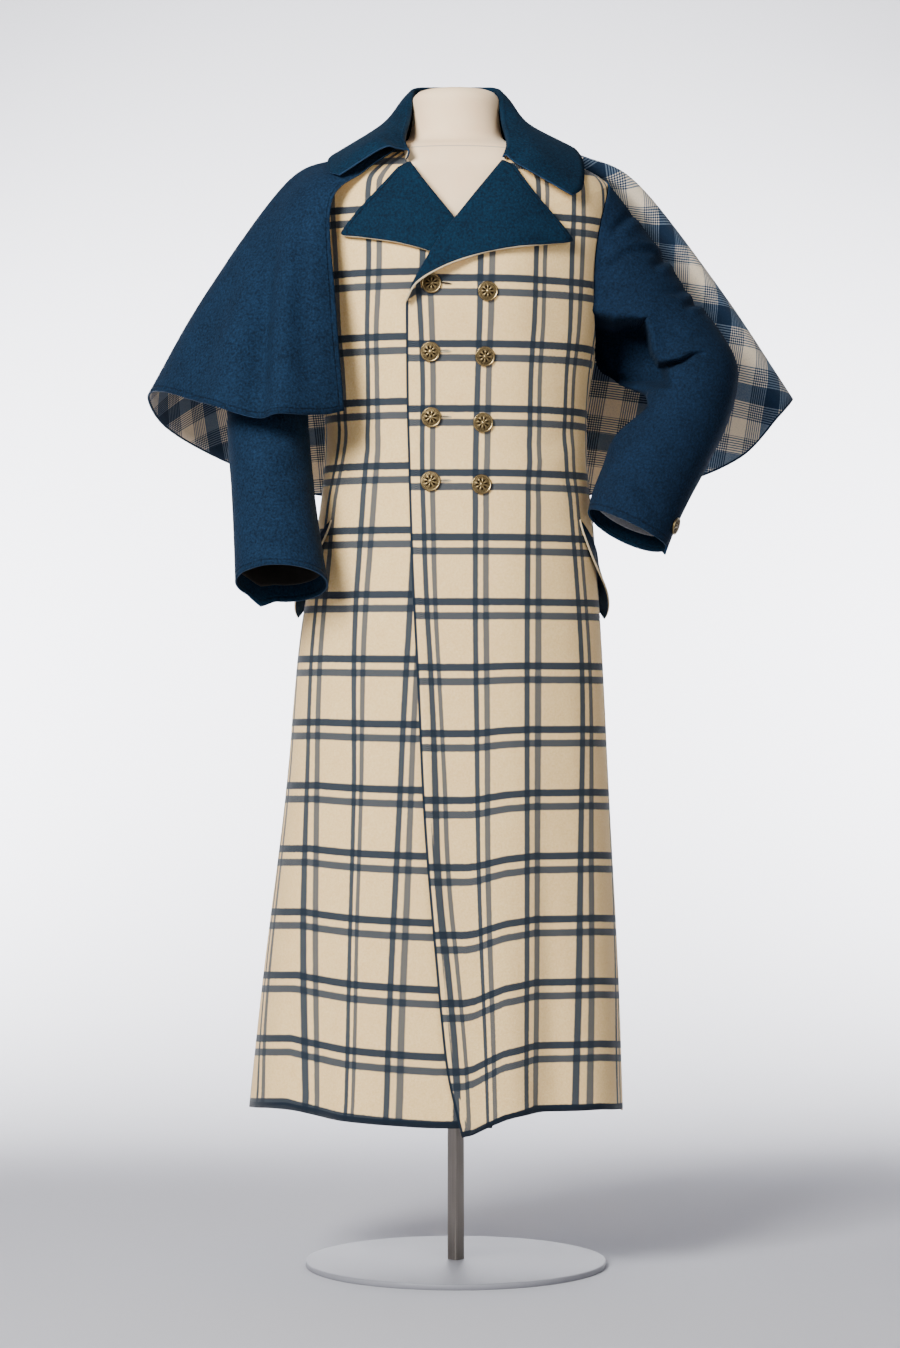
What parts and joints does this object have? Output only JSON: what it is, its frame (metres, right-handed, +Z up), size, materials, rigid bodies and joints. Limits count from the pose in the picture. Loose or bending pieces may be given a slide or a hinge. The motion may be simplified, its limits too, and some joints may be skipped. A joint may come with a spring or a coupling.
{
  "type": "caped overcoat on dress form",
  "caption": "Long double-breasted plaid overcoat with wide collar and shoulder cape, one half thrown back, worn by a limbless dress form on a pole with a round base.",
  "frame": {"origin": "centre of the base plate's underside, on the pole's axis", "axes": "+Z up along the pole, the coat's front faces -Y, the wearer's left is +X"},
  "size_m": [0.8732, 0.4549, 1.5808],
  "materials": {
    "plaid_wool": "cream twill with a blue window plaid",
    "blue_wool": "matt heavy wool",
    "lining": "smooth lining",
    "button_brass": "antique, dull",
    "form_jersey": "matt jersey cover",
    "pole_steel": "brushed",
    "base_paint": "satin"
  },
  "bodies": {
    "root": {"front_left": "plaid_wool", "front_right": "plaid_wool", "back": "plaid_wool", "sleeve_left": "blue_wool", "sleeve_right": "blue_wool", "lining_left": "lining", "lining_right": "lining", "collar": "blue_wool", "cape_left": "blue_wool", "cape_right": "blue_wool", "flap_left": "blue_wool", "flap_right": "blue_wool", "button_left_1": "button_brass", "button_left_2": "button_brass", "button_left_3": "button_brass", "button_left_4": "button_brass", "button_right_1": "button_brass", "button_right_2": "button_brass", "button_right_3": "button_brass", "button_right_4": "button_brass", "button_cuff_left": "button_brass", "button_cuff_right": "button_brass", "form_torso": "form_jersey", "stand_pole": "pole_steel", "stand_base": "base_paint"}
  },
  "joints": []
}
